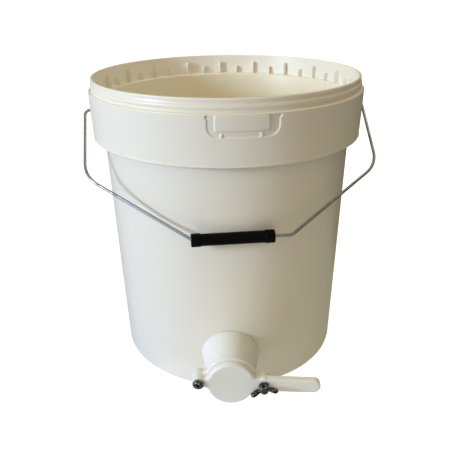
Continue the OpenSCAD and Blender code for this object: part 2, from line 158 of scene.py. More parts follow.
# Gate
BORE_R = 20
SPIGOT_R = 24
FLANGE_R = 29
FLANGE_T = 8
BARREL_FRONT_R = 27.5
BARREL_BACK_R = 34
BARREL_FILLET = 1.2
BARREL_FLARE = 0.1
BARREL_SWEEP = (172, 98)
GASKET_T = 1.5
GASKET_GAP = 0.05
HOLE_R = 24.5
BOSS_R = 7
BOSS_L = 4.2
EAR_R = 8.5
NECK_FILLET = 6
FLANGE_BACK_ROUND = 1
FLANGE_FRONT_ROUND = 1.4
BOSS_ROUND = 0.8
BARREL_EDGE = 0.25
SEAL_R = 23.25
SEAL_CORD_R = 1.5
SEAL_GAP = 0.05
SEAL_EDGE = 0.12
INNER_GASKET_R = 31
LOCK_NUT_T = 12
LOCK_NUT_FLATS = 62
SPIGOT_PITCH = 2.5
SPIGOT_LEAD = 0.5

# Flap
FLAP_R = 26.5
LEVER_L = 100.5
LEVER_HALF = 8.25
HOOK_EYE_R = 9
SLOT_R = 3.6
FLAP_BACK_ROUND = 0.3
FLAP_FRONT_ROUND = 2.2
PIVOT_BORE_R = 3.08

# Fasteners
SCREW_R = 3
SCREW_HOLE_R = 3.05
THREAD_PITCH = 1
THREAD_GAP = 0.08
PIVOT_WASHER_R = 6.8
PIVOT_WASHER_T = 1.4
HEAD_R = 5.25
HEAD_H = 2.2
HEAD_LOW_ROUND = 0.2
HEAD_SIDE_SHARE = 0.96
HEAD_SIDE_RISE = 0.5
HEAD_SIDE_ROUND = 0.9
HEAD_TOP_ROUND = 0.5
SHANK_OVERLAP = 0.2
SOCKET_FLATS = 4
SOCKET_DEPTH = 1.9
HEX_FLATS = 10
NUT_H = 6
BOLT_HEAD_H = 4
WASHER_R = 6
WASHER_T = 1.6
WASHER_ROUND = 0.35
WASHER_BORE_ROUND = 0.2
HUB_R = 5.5
HUB_TAPER = 1
HUB_H = 8
HUB_LOW_ROUND = 0.5
HUB_TOP_ROUND = 0.9
HUB_BORE_ROUND = 0.3
HUB_MOUTH_ROUND = 0.4
WING_X = 12
WING_Z = 9.5
WING_TIP_R = 3.4
WING_ROOT = 3
WING_T = 3.2
WING_ROUND = 0.9
WING_TURN = math.radians(15)
END_PROUD = 1.5
SLIDE_GAP = 0.3
CHAMFER = 0.35

# A thread's depth as a share of its pitch, its steps round one turn and the corners of its ridge
THREAD_SHARE = 0.34
THREAD_STEPS = 40
THREAD_CORNERS = 6

# A hexagon's eased ends: their height as a share of its half width, their rows, and the cone that cuts them
HEX_EASE = 0.12
HEX_ROWS = 5
HEX_CONE = 0.985
HEX_CONE_SLOPE = 1.75

# Columns round turned shapes, each named after one of them
HEX_SIDES = 6
CORD_SIDES = 24
HOLE_SIDES = 32
SHANK_SIDES = 48
WASHER_SIDES = 64
HEAD_SIDES = 72
BORE_SIDES = 96
SEAL_SIDES = 120
BARREL_SIDES = 144

# Steps of arcs and of rounded corners
HALF_ROUND_STEPS = 14
SHOULDER_STEPS = 6
BEAD_STEPS = 12
BEND_STEPS = 10
FILLET_STEPS = 5
CORNER_STEPS = 3
EAR_STEPS = 12
NECK_STEPS = 8
FLANK_STEPS = 6
DISC_STEPS = 40
TIP_STEPS = 3

# How far cutters and joined shapes run on past a face
OVERRUN = 1
# Heights below zero mark the points that follow the bucket's wall, counted down from this one
WALL_MARK = -1000


def in_mm(point):
    return np.array(point, float) / MM


def metres(*lengths):
    return [length * MM for length in lengths]


def shift(x, y, z):
    return Matrix.Translation((x, y, z))


def spin(axis, angle):
    return Matrix.Rotation(angle, 4, axis)


# Places that the frame gives
JOINTS = {joint["name"]: joint for joint in frame["joints"]}
BUCKET_H = in_mm(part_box("bucket")[1])[2]
LEDGE_Z = BUCKET_H - LEDGE_DROP
WALL_SLOPE = (SHOULDER_R - BASE_R) / LEDGE_Z
RIM_IN_R = SHOULDER_R - WALL_T + LEDGE_W
RIM_OUT_R = RIM_IN_R + RIM_T
SKIRT_TOP_Z = BUCKET_H - SKIRT_DROP
SKIRT_LOW_Z = SKIRT_TOP_Z - SKIRT_H
SKIRT_TOP_R = RIM_OUT_R + SKIRT_OUT - SKIN

BAIL_AXIS = -np.array(JOINTS["bail_swing"]["axis"])
BAIL_Z = in_mm(JOINTS["bail_swing"]["pos_m"])[2]
BAIL_TURN = math.atan2(BAIL_AXIS[1], BAIL_AXIS[0])
HAND = in_mm(JOINTS["grip_spin"]["pos_m"])
HAND_OUT = math.sqrt(HAND[0] ** 2 + HAND[1] ** 2 - (HAND[:2] @ BAIL_AXIS[:2]) ** 2)
HAND_REACH = math.hypot(HAND_OUT, BAIL_Z - HAND[2])
BAIL_DIP = math.atan2(HAND_OUT, BAIL_Z - HAND[2])

PIVOT = in_mm(JOINTS["flap_swing"]["pos_m"])
CLAMP = in_mm(JOINTS["wing_nut_turn"]["pos_m"])
GATE_Z = (PIVOT[2] + CLAMP[2]) / 2
EAR_X = math.hypot(CLAMP[0] - PIVOT[0], CLAMP[2] - PIVOT[2]) / 2
GATE_TURN = math.atan2(PIVOT[2] - CLAMP[2], CLAMP[0] - PIVOT[0])
FLAP_FRONT = -in_mm(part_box("gate_flap")[0])[1]
FLAP_BACK = -in_mm(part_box("gate_flap")[1])[1]
FLANGE_FRONT = -in_mm(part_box("gate_body")[0])[1]
FLANGE_BACK = FLANGE_FRONT - FLANGE_T
FLANGE_MIDDLE = FLANGE_BACK + FLANGE_T / 2
SPIGOT_END = -in_mm(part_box("gate_body")[1])[1]
BOSS_BACK = FLANGE_BACK - BOSS_L
LOCK_NUT_BACK = -in_mm(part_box("lock_nut")[1])[1]
NUT_SEAT = LOCK_NUT_BACK + LOCK_NUT_T
WASHER_SEAT = FLAP_FRONT + SLIDE_GAP
WING_SEAT = WASHER_SEAT + WASHER_T + SLIDE_GAP

GATE = shift(0, 0, GATE_Z) @ spin("X", TURN / 4) @ spin("Z", -GATE_TURN)
AT_PIVOT = GATE @ shift(-EAR_X, 0, 0)
AT_CLAMP = GATE @ shift(EAR_X, 0, 0)
BAIL = shift(0, 0, BAIL_Z) @ spin("Z", BAIL_TURN) @ spin("X", TURN * 3 / 4 - BAIL_DIP)
TAB_TURN = BAIL_TURN - TURN / 4


def wall_r(z):
    return BASE_R + WALL_SLOPE * z


def skirt_r(z):
    return SKIRT_TOP_R - SKIRT_LEAN * (SKIRT_TOP_Z - z) / SKIRT_H


# Outlines

def arc(centre, radius, start, end, steps):
    """Points along an arc between two angles, in degrees."""
    angles = np.radians(np.linspace(start, end, steps + 1))
    return [(centre[0] + radius * math.cos(a), centre[1] + radius * math.sin(a)) for a in angles]


def rounded(corners, steps=4):
    """A closed outline through corners, each an (x, y) or an (x, y, rounding)."""
    points = []
    count = len(corners)
    for i, corner in enumerate(corners):
        here = np.array(corner[:2], float)
        if len(corner) == 2:
            points.append(tuple(here))
            continue
        before = np.array(corners[i - 1][:2], float) - here
        after = np.array(corners[(i + 1) % count][:2], float) - here
        before /= np.linalg.norm(before)
        after /= np.linalg.norm(after)
        half = math.acos(np.clip(before @ after, -1, 1)) / 2
        middle = here + (before + after) / np.linalg.norm(before + after) * corner[2] / math.sin(half)
        run = corner[2] / math.tan(half)
        first = here + before * run - middle
        last = here + after * run - middle
        sweep = math.atan2(first[0] * last[1] - first[1] * last[0], first @ last)
        for k in range(steps + 1):
            a = sweep * k / steps
            c, s = math.cos(a), math.sin(a)
            points.append((middle[0] + c * first[0] - s * first[1], middle[1] + s * first[0] + c * first[1]))
    return points


def neck_centre(disc_r, ear_r, apart, fillet):
    """Middle of the fillet that joins a disc at the origin to an ear on the X axis."""
    a, b = disc_r + fillet, ear_r + fillet
    x = (a * a - b * b + apart * apart) / (2 * apart)
    return x, math.sqrt(a * a - x * x)


def degrees(point):
    return math.degrees(math.atan2(point[1], point[0]))


def mirrored(points):
    """The same points below the X axis, in the order that carries an outline on."""
    return [(x, -y) for x, y in reversed(points)]


# Meshes, made in millimetres in their own frames

# Angle from which an edge is sharp, and what makes a face a flat cap
STEEP = math.radians(38)
CAP_FLATNESS = math.radians(0.5)
CAP_RATIO = 30
# Closest that two points of an outline lie, and the steps of a rounded edge
SAME_POINT = 0.001
EDGE_STEPS = 5
# Reach within which a mesh's points merge and its slivers dissolve
MERGE_REACH = 1e-4
SLIVER_REACH = 1e-5


def new_object(name, data):
    made = bpy.data.objects.new(name, data)
    bpy.context.collection.objects.link(made)
    return made


def evaluated_mesh(made):
    """A plain mesh of an object, with its modifiers applied."""
    bpy.context.view_layer.update()
    return bpy.data.meshes.new_from_object(made.evaluated_get(bpy.context.evaluated_depsgraph_get()))


def beside_cap(edge):
    """Whether an edge parts a wide flat face from a narrow one."""
    areas = [face.calc_area() for face in edge.link_faces]
    return max(areas) > CAP_RATIO * min(areas)


def tidy_mesh(mesh, caps=False):
    """Merges doubles, turns faces outwards, and keeps steep edges and the edges of flat caps sharp."""
    bm = bmesh.new()
    bm.from_mesh(mesh)
    bmesh.ops.remove_doubles(bm, verts=bm.verts, dist=MERGE_REACH)
    bmesh.ops.dissolve_degenerate(bm, edges=bm.edges, dist=SLIVER_REACH)
    if caps:
        bmesh.ops.dissolve_limit(bm, angle_limit=CAP_FLATNESS, verts=bm.verts, edges=bm.edges)
    bmesh.ops.recalc_face_normals(bm, faces=bm.faces)
    for face in bm.faces:
        face.smooth = True
    for edge in bm.edges:
        steep = len(edge.link_faces) != 2 or edge.calc_face_angle(0) > STEEP
        edge.smooth = not (steep or caps and beside_cap(edge))
    bm.to_mesh(mesh)
    bm.free()
    return mesh


def grid_mesh(points, wrap_rows, wrap_columns):
    """A mesh from a rows by columns array of points."""
    rows, columns = points.shape[:2]
    index = np.arange(rows * columns).reshape(rows, columns)
    if wrap_rows:
        index = np.vstack([index, index[:1]])
    if wrap_columns:
        index = np.hstack([index, index[:, :1]])
    quads = np.stack([index[:-1, :-1], index[1:, :-1], index[1:, 1:], index[:-1, 1:]], -1).reshape(-1, 4)
    mesh = bpy.data.meshes.new("grid")
    mesh.from_pydata(points.reshape(-1, 3).tolist(), [], quads.tolist())
    return mesh


def revolve(profile, angles, shape=None, closed=True):
    """Turns a profile of (radius, height) points about Z. The shape function may move the points."""
    if isinstance(angles, int):
        angles = np.arange(angles) * TURN / angles
    profile = np.array(profile, float)
    angle = np.array(angles)[:, None] + 0 * profile[None, :, 0]
    radius = profile[None, :, 0] + 0 * angle
    height = profile[None, :, 1] + 0 * angle
    if shape:
        radius, height = shape(radius, height, angle)
    points = np.stack([radius * np.cos(angle), radius * np.sin(angle), height], -1)
    return tidy_mesh(grid_mesh(points, True, closed))


def close_ends(mesh, sides):
    """Fills the first and the last ring of a grid whose columns wrap."""
    bm = bmesh.new()
    bm.from_mesh(mesh)
    bm.verts.ensure_lookup_table()
    bm.faces.new(bm.verts[:sides])
    bm.faces.new(bm.verts[-sides:])
    bm.to_mesh(mesh)
    bm.free()
    return mesh


def inset(outline, distance):
    """A counterclockwise outline, moved inwards."""
    ahead = np.roll(outline, -1, 0) - outline
    ahead /= np.linalg.norm(ahead, axis=1)[:, None]
    after = np.stack([-ahead[:, 1], ahead[:, 0]], -1)
    before = np.roll(after, 1, 0)
    return outline + distance * (before + after) / (1 + (before * after).sum(1))[:, None]


def plate(outline, low, high, low_edge, high_edge):
    """A flat plate with rounded edges, from a counterclockwise outline."""
    outline = np.array(outline, float)
    outline = outline[np.linalg.norm(outline - np.roll(outline, 1, 0), axis=1) > SAME_POINT]
    quarter = np.radians(np.linspace(0, 90, EDGE_STEPS + 1))
    section = [(low_edge * (1 - math.sin(a)), low + low_edge * (1 - math.cos(a))) for a in quarter]
    section += [(high_edge * (1 - math.cos(a)), high - high_edge * (1 - math.sin(a))) for a in quarter]
    rings = [np.column_stack([inset(outline, depth), np.full(len(outline), height)])
             for depth, height in section]
    return tidy_mesh(close_ends(grid_mesh(np.array(rings), False, True), len(outline)), caps=True)


def map_along(mesh, path):
    """Gives a wire a UV map that runs along its path and once round it."""
    run = np.concatenate([[0], np.cumsum(np.linalg.norm(np.diff(path, axis=0), axis=1))])
    uv = mesh.uv_layers.new(name="along_wire")
    for face in mesh.polygons:
        columns = [vertex % WIRE_SIDES for vertex in face.vertices]
        wraps = max(columns) == WIRE_SIDES - 1 and min(columns) == 0
        for loop, vertex, column in zip(face.loop_indices, face.vertices, columns):
            around = (WIRE_SIDES if wraps and column == 0 else column) / WIRE_SIDES
            uv.data[loop].uv = (run[vertex // WIRE_SIDES] * MM, around)


def wire(points, normal):
    """A round wire along flat points, with eased ends."""
    points = np.array(points, float)
    ahead = np.gradient(points, axis=0)
    ahead /= np.linalg.norm(ahead, axis=1)[:, None]
    path = np.vstack([points[:1], points[:1] + ahead[:1] * WIRE_END, points[1:-1],
                      points[-1:] - ahead[-1:] * WIRE_END, points[-1:]])
    ahead = np.vstack([ahead[:1], ahead[:1], ahead[1:-1], ahead[-1:], ahead[-1:]])
    radii = np.full(len(path), WIRE_R)
    radii[[0, -1]] -= WIRE_END
    across = np.cross(ahead, normal)
    around = (np.arange(WIRE_SIDES) * TURN / WIRE_SIDES)[None, :, None]
    spokes = np.cos(around) * across[:, None] + np.sin(around) * np.array(normal)
    mesh = grid_mesh(path[:, None] + radii[:, None, None] * spokes, False, True)
    map_along(mesh, path)
    return tidy_mesh(close_ends(mesh, WIRE_SIDES))


def carve(mesh, added=(), taken=(), caps=False):
    """Joins meshes to a mesh, and then takes others out of it."""
    body = new_object("body", mesh)
    tools = []
    steps = [("UNION", other) for other in added] + [("DIFFERENCE", other) for other in taken]
    for operation, other in steps:
        tool = new_object("tool", other)
        modifier = body.modifiers.new("carve", "BOOLEAN")
        modifier.operation = operation
        modifier.solver = "EXACT"
        modifier.object = tool
        tools.append(tool)
    result = evaluated_mesh(body)
    for made in (body, *tools):
        bpy.data.objects.remove(made)
    return tidy_mesh(result, caps)


def rod(radius, low, high, angles, across=0):
    """A plain round or cornered cutter, a way across from the axis."""
    mesh = revolve([(0, low), (radius, low), (radius, high), (0, high)], angles, closed=False)
    mesh.transform(shift(across, 0, 0))
    return mesh


def hexagon(flats, low, high, bore_r):
    """A hexagon, bored or not, its corners eased by a cone at both ends. A flat faces along X."""
    half = flats / 2
    ease = half * HEX_EASE
    side = [(half / math.cos(TURN / 12), low + ease * t) for t in np.linspace(0, 1, HEX_ROWS)]
    side += [(r, high + low - a) for r, a in reversed(side)]

    def shape(radius, height, angle):
        flat = half / np.cos((angle + TURN / 12) % (TURN / 6) - TURN / 12)
        end = np.minimum(height - low, high - height)
        cone = half * HEX_CONE + end * HEX_CONE_SLOPE
        return np.where(radius > half, np.minimum(flat, cone), radius), height

    if not bore_r:
        return revolve([(0, low), *side, (0, high)], SEAL_SIDES, shape, closed=False)
    ring = [(bore_r + CHAMFER, low), *side, (bore_r + CHAMFER, high), (bore_r, high - CHAMFER),
            (bore_r, low + CHAMFER)]
    return revolve(ring, SEAL_SIDES, shape)


# Node trees

class Value:
    """A socket of a node tree. Arithmetic on it adds Math nodes."""

    def __init__(self, nodes, socket):
        self.nodes = nodes
        self.socket = socket

    def math(self, operation, *operands):
        return self.nodes.add("ShaderNodeMath", {"operation": operation}, dict(enumerate(operands)))

    def __add__(self, other):
        return self.math("ADD", self, other)

    def __radd__(self, other):
        return self.math("ADD", other, self)

    def __sub__(self, other):
        return self.math("SUBTRACT", self, other)

    def __rsub__(self, other):
        return self.math("SUBTRACT", other, self)

    def __mul__(self, other):
        return self.math("MULTIPLY", self, other)

    def __rmul__(self, other):
        return self.math("MULTIPLY", other, self)

    def __truediv__(self, other):
        return self.math("DIVIDE", self, other)

    def __rtruediv__(self, other):
        return self.math("DIVIDE", other, self)

    def between(self, low, high):
        """0 below low, 1 above high, and smooth between them."""
        return self.nodes.add("ShaderNodeMapRange", {"interpolation_type": "SMOOTHSTEP"},
                              {0: self, 1: low, 2: high, 3: 0.0, 4: 1.0})


class Nodes:
    """Builds a node tree."""

    def __init__(self, tree):
        self.tree = tree

    def add(self, kind, settings=None, inputs=None, out=0):
        node = self.tree.nodes.new(kind)
        for key, value in (settings or {}).items():
            setattr(node, key, value)
        self.fill(node, inputs or {})
        return Value(self, node.outputs[out]) if len(node.outputs) else node

    def fill(self, node, inputs):
        for key, value in inputs.items():
            self.put(node.inputs[key], value)

    def put(self, socket, value):
        if isinstance(value, Value):
            self.tree.links.new(value.socket, socket)
        else:
            socket.default_value = value

    def mix(self, share, low, high, blend="MIX"):
        """A colour between two, by a share."""
        return self.add("ShaderNodeMix", {"data_type": "RGBA", "blend_type": blend},
                        {0: share, 6: low, 7: high}, 2)

    def noise(self, where, scale, detail, roughness=0.5):
        return self.add("ShaderNodeTexNoise", None,
                        {"Vector": where, "Scale": scale, "Detail": detail, "Roughness": roughness})

    def streaks(self, where, scales, detail, roughness=0.5):
        """Noise that is drawn out, by its scale along each axis."""
        drawn = self.add("ShaderNodeMapping", None, {"Vector": where, "Scale": scales})
        return self.noise(drawn, 1.0, detail, roughness)

    def axis(self, where, number):
        return self.add("ShaderNodeSeparateXYZ", None, {0: where}, number)

    def bump(self, height, depth):
        """Bumps of a depth in millimetres."""
        return self.add("ShaderNodeBump", None, {"Height": height, "Distance": depth * MM, "Strength": 1.0})


def surface(name):
    """A new material with its tree, its Principled shader and its Object coordinates."""
    material = bpy.data.materials.new(name)
    material.use_nodes = True
    nodes = Nodes(material.node_tree)
    shader = material.node_tree.nodes["Principled BSDF"]
    where = nodes.add("ShaderNodeTexCoord", out="Object")
    return material, nodes, shader, where


# Finishes

# Widths over which the finishes change, in millimetres
RIM_BLEND = 1
WALL_BLEND = 0.5
HEM_BLEND = 0.5
FACE_BLEND = 0.05
# Heights over which the dust fades, above the floor and above the hem
FOOT_FADE = (2, 30)
HEM_FADE = (3, 10)


def moulded_white():
    """Satin polypropylene: faint blotches, fine scuffs, dust on the hem and foot, and painted warm light
    inside, painted brighter still on the inner rim above the ledge.
    """
    material, nodes, shader, where = surface("moulded_white")
    across, along, height = (nodes.axis(where, number) for number in range(3))
    square = across * across + along * along
    out = square.math("SQRT", square)
    step = (RIM_IN_R + RIM_T / 2 - wall_r(LEDGE_Z) + WALL_T / 2) * MM
    rim = height.between(*metres(LEDGE_Z - RIM_BLEND, LEDGE_Z))
    wall = (BASE_R - WALL_T / 2) * MM + height * WALL_SLOPE + rim * step
    above_base = height.between(*metres(GROOVE_DEPTH, FLOOR_T))
    within = above_base - above_base * (out - wall).between(*metres(-WALL_BLEND, WALL_BLEND))
    blotch = nodes.noise(where, scale=14.0, detail=4.0)
    scuff = nodes.streaks(where, (90.0, 90.0, 900.0), detail=5.0, roughness=0.65).between(0.6, 0.78)
    rubbed = nodes.noise(where, scale=45.0, detail=5.0, roughness=0.6).between(0.5, 0.72)
    foot = 1 - height.between(*metres(*FOOT_FADE))
    above_hem = height.between(*metres(SKIRT_LOW_Z - HEM_BLEND, SKIRT_LOW_Z + HEM_BLEND))
    hem = above_hem * (1 - height.between(*metres(SKIRT_LOW_Z + HEM_FADE[0], SKIRT_LOW_Z + HEM_FADE[1])))
    dust = (foot + hem) * rubbed * (1 - within)
    outside = nodes.mix(blotch, (0.86, 0.83, 0.745, 1), (0.885, 0.86, 0.78, 1))
    # Painted light: the inside is painted warmer and more saturated to stand in for warm bounce light, and
    # the inner rim above the ledge is painted brighter for the light that falls on it.
    inside = nodes.mix(blotch, (0.935, 0.875, 0.73, 1), (0.95, 0.89, 0.75, 1))
    upper = nodes.mix(blotch, (0.94, 0.905, 0.83, 1), (0.955, 0.92, 0.85, 1))
    clean_with_painted_light = nodes.mix(within, outside, nodes.mix(rim, inside, upper))
    grain = nodes.noise(where, scale=700.0, detail=2.0)
    nodes.fill(shader, {
        "Base Color": nodes.mix(dust * 0.22, clean_with_painted_light, (0.55, 0.52, 0.45, 1)),
        "Roughness": 0.3 + blotch * 0.1 + scuff * 0.18 + dust * 0.15,
        "Normal": nodes.bump(grain * 0.6 + scuff * 0.4, 0.03),
        "IOR": 1.49,
        "Subsurface Weight": 0.35,
        "Subsurface Radius": metres(3.0, 2.6, 2.1),
        "Subsurface Scale": 1.0,
    })
    return material


def milky_nylon():
    """Milky nylon: soft, slightly waxy, with flow marks and handling scuffs."""
    material, nodes, shader, where = surface("milky_nylon")
    flow = nodes.streaks(where, (40.0, 18.0, 40.0), detail=4.0)
    scuff = nodes.streaks(where, (160.0, 900.0, 700.0), detail=4.0, roughness=0.6).between(0.6, 0.8)
    nodes.fill(shader, {
        "Base Color": nodes.mix(flow, (0.84, 0.852, 0.846, 1), (0.88, 0.892, 0.886, 1)),
        "Roughness": 0.3 + flow * 0.12 + scuff * 0.2,
        "Normal": nodes.bump(nodes.noise(where, scale=900.0, detail=2.0) + scuff * 0.5, 0.03),
        "IOR": 1.53,
        "Subsurface Weight": 0.4,
        "Subsurface Radius": metres(4.0, 3.7, 3.2),
        "Subsurface Scale": 1.0,
    })
    return material


def drawn_wire():
    """Drawn galvanised wire: fine lines along its length and dull zinc patches."""
    material, nodes, shader, where = surface("drawn_wire")
    along = nodes.add("ShaderNodeUVMap", {"uv_map": "along_wire"})
    lines = nodes.streaks(along, (60.0, 40.0, 1.0), detail=4.0, roughness=0.6)
    dull = nodes.noise(where, scale=160.0, detail=4.0, roughness=0.6).between(0.45, 0.65)
    bright = nodes.mix(lines, (0.275, 0.295, 0.335, 1), (0.445, 0.475, 0.535, 1))
    nodes.fill(shader, {
        "Base Color": nodes.mix(dull * 0.5, bright, (0.215, 0.23, 0.26, 1)),
        "Roughness": 0.26 + lines * 0.14 + dull * 0.16,
        "Normal": nodes.bump(lines, 0.04),
        "Metallic": 1.0,
    })
    return material


def black_grip():
    """Black moulded plastic with a fine grain, polished a little by hands."""
    material, nodes, shader, where = surface("black_grip")
    grain = nodes.noise(where, scale=1400.0, detail=3.0)
    polish = nodes.noise(where, scale=60.0, detail=4.0).between(0.35, 0.7)
    nodes.fill(shader, {
        "Base Color": nodes.mix(polish, (0.0015, 0.0018, 0.0015, 1), (0.003, 0.0035, 0.003, 1)),
        "Roughness": 0.52 - polish * 0.14,
        "Normal": nodes.bump(grain, 0.06),
        "Specular IOR Level": 0.07,
    })
    return material


def plain_stainless():
    """Stainless steel: faint tool marks, darker handled patches mixed with painted patchy reflections, heads
    painted dark for a dark room's reflection, and washers behind the heads painted brighter as a painted
    reflection of the white gate.
    """
    material, nodes, shader, where = surface("plain_stainless")
    marks = nodes.streaks(where, (300.0, 2600.0, 300.0), detail=3.0)
    # Painted reflection: these patches are partly handled stains and partly painted dark and bright
    # reflections, set far apart in tone.
    stain_and_painted_reflection = nodes.noise(where, scale=420.0, detail=3.0).between(0.4, 0.56)
    along = nodes.axis(where, 1)
    washer_face = WASHER_SEAT + PIVOT_WASHER_T
    behind = along.between(*metres(-washer_face - FACE_BLEND, -washer_face))
    # Painted reflection: the heads and the wing nut are painted nearly black with bright patches for a dark
    # room mirrored in them, and the washers and all behind them are painted brighter for the white gate
    # mirrored in them.
    turned = nodes.mix(stain_and_painted_reflection, (0.26, 0.263, 0.27, 1), (0.02, 0.02, 0.021, 1))
    washer_painted_reflection = nodes.mix(stain_and_painted_reflection, (0.42, 0.425, 0.435, 1), (0.24, 0.242, 0.247, 1))
    nodes.fill(shader, {
        "Base Color": nodes.mix(behind, turned, washer_painted_reflection),
        "Roughness": 0.2 + marks * 0.08 + stain_and_painted_reflection * 0.06,
        "Normal": nodes.bump(marks, 0.03),
        "Metallic": 1.0,
    })
    return material


def pale_rubber():
    """Pale silicone rubber, matt, with a dusting."""
    material, nodes, shader, where = surface("pale_rubber")
    dusting = nodes.noise(where, scale=180.0, detail=5.0, roughness=0.6)
    nodes.fill(shader, {
        "Base Color": nodes.mix(dusting, (0.70, 0.69, 0.65, 1), (0.78, 0.775, 0.74, 1)),
        "Roughness": 0.6 + dusting * 0.15,
        "Normal": nodes.bump(nodes.noise(where, scale=1200.0, detail=2.0), 0.04),
    })
    return material


FINISHES = {
    "bucket_white": moulded_white(),
    "gate_white": milky_nylon(),
    "wire_steel": drawn_wire(),
    "grip_black": black_grip(),
    "fastener_steel": plain_stainless(),
    "seal_rubber": pale_rubber(),
}


def piece(name, slot, body, nodes, parts, place=Matrix.Identity(4)):
    """Joins parts into one piece in metres, with its finish, its body and the nodes that it stands for."""
    bm = bmesh.new()
    for part in parts:
        bm.from_mesh(part)
        bpy.data.meshes.remove(part)
    mesh = bpy.data.meshes.new(name)
    bm.to_mesh(mesh)
    bm.free()
    mesh.transform(Matrix.Scale(MM, 4) @ place)
    mesh.materials.clear()
    mesh.materials.append(FINISHES[slot])
    made = new_object(name, mesh)
    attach(made, body)
    if nodes:
        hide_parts(*nodes)


# Geometry Nodes for what repeats

def node_tree(name, sockets):
    """An empty Geometry Nodes tree with named inputs. Gives the tree, its builder and its inputs' values."""
    tree = bpy.data.node_groups.new(name, "GeometryNodeTree")
    for label, kind in sockets:
        tree.interface.new_socket(label, in_out="INPUT", socket_type=kind)
    tree.interface.new_socket("Geometry", in_out="OUTPUT", socket_type="NodeSocketGeometry")
    nodes = Nodes(tree)
    return tree, nodes, {label: nodes.add("NodeGroupInput", out=label) for label, kind in sockets}


def close_tree(nodes, geometry, material):
    """Ends a tree with real geometry that has its material."""
    real = nodes.add("GeometryNodeRealizeInstances", None, {0: geometry})
    coated = nodes.add("GeometryNodeSetMaterial", None, {"Geometry": real, "Material": material})
    nodes.add("NodeGroupOutput", None, {0: coated})


def grown(tree, values):
    """The plain mesh that a tree makes with these values of its named inputs."""
    made = new_object(tree.name, bpy.data.meshes.new(tree.name))
    modifier = made.modifiers.new(tree.name, "NODES")
    modifier.node_group = tree
    for item in tree.interface.items_tree:
        if item.in_out == "INPUT":
            modifier[item.identifier] = values[item.name]
    mesh = evaluated_mesh(made)
    made.modifiers.clear()
    bpy.data.objects.remove(made)
    return mesh


def ring_tree():
    """Copies of one object, turned round the Z axis."""
    tree, nodes, given = node_tree("ring_of_copies", [
        ("Count", "NodeSocketInt"), ("First turn", "NodeSocketFloat"), ("Copied", "NodeSocketObject"),
        ("Finish", "NodeSocketMaterial")])
    index = nodes.add("GeometryNodeInputIndex")
    turn = index / given["Count"] * TURN + given["First turn"]
    points = nodes.add("GeometryNodePoints", None, {"Count": given["Count"]})
    copied = nodes.add("GeometryNodeObjectInfo", None, {"Object": given["Copied"]}, "Geometry")
    placed = nodes.add("GeometryNodeInstanceOnPoints", None, {
        "Points": points, "Instance": copied,
        "Rotation": nodes.add("ShaderNodeCombineXYZ", None, {"Z": turn})})
    close_tree(nodes, placed, given["Finish"])
    return tree


def thread_tree():
    """The ridge of a screw thread, wound up the Z axis."""
    tree, nodes, given = node_tree("thread_ridge", [
        ("Radius", "NodeSocketFloat"), ("Pitch", "NodeSocketFloat"), ("Length", "NodeSocketFloat"),
        ("Finish", "NodeSocketMaterial")])
    spiral = nodes.add("GeometryNodeCurveSpiral", None, {
        "Resolution": THREAD_STEPS, "Rotations": given["Length"] / given["Pitch"],
        "Start Radius": given["Radius"], "End Radius": given["Radius"], "Height": given["Length"]})
    section = nodes.add("GeometryNodeCurvePrimitiveCircle", None, {
        "Resolution": THREAD_CORNERS, "Radius": given["Pitch"] * THREAD_SHARE})
    ridge = nodes.add("GeometryNodeCurveToMesh", None, {
        "Curve": spiral, "Profile Curve": section, "Fill Caps": True})
    close_tree(nodes, ridge, given["Finish"])
    return tree


RING = ring_tree()
THREAD = thread_tree()


def thread(radius, pitch, low, high, slot):
    """A thread's ridge whose crests lie at a radius, between two heights."""
    depth = pitch * THREAD_SHARE
    mesh = grown(THREAD, {"Radius": radius - depth, "Pitch": pitch, "Length": high - low - 2 * depth,
                          "Finish": FINISHES[slot]})
    mesh.transform(shift(0, 0, low + depth))
    return tidy_mesh(mesh)


# Bucket

def round_box(x, y, half_w, half_h, corner):
    """Distance outside a rectangle with rounded corners, negative inside."""
    dx = np.abs(x) - half_w + corner
    dy = np.abs(y) - half_h + corner
    return np.hypot(np.maximum(dx, 0), np.maximum(dy, 0)) + np.minimum(np.maximum(dx, dy), 0) - corner


def eased(inside, width=TAB_EDGE):
    """0 to 1 over the width of a moulded edge, by the distance inside it."""
    t = np.clip(inside / width + 0.5, 0, 1)
    return t * t * (3 - 2 * t)


def tab_relief(radius, height, angle):
    """Sinks the tear tab's recess into the skirt's outer face and raises its panel."""
    top = SKIRT_TOP_Z - SKIRT_ROUND
    across = radius * np.sin(angle - TAB_TURN)
    up = height - (top - TAB_H / 2)
    recess = eased(-round_box(across, up, TAB_W / 2, TAB_H / 2, np.where(up < 0, TAB_ROUND, TAB_EDGE)))
    off_panel = round_box(across - PANEL_SHIFT, up - PANEL_LIFT, PANEL_W / 2, PANEL_H / 2, PANEL_ROUND)
    panel = eased(-off_panel, PANEL_EDGE)
    bridge = (eased(BRIDGE_W / 2 - np.abs(np.abs(across - BRIDGE_SHIFT) - BRIDGE_X))
              * eased(BRIDGE_H - TAB_H / 2 - up))
    slit = eased(SLIT_W / 2 - np.abs(np.abs(across) - TAB_W / 2)) * eased(up - TAB_H / 2 + SLIT_H)
    depth = np.maximum(TAB_DEPTH * recess * (1 - bridge) - PANEL_RAISE * panel, SLIT_DEPTH * slit)
    near = np.cos(angle - TAB_TURN) > 0
    on_face = near & (np.abs(radius - skirt_r(height)) < TAB_REACH) & (height < top + TAB_REACH)
    return radius - np.where(on_face, depth, 0), height


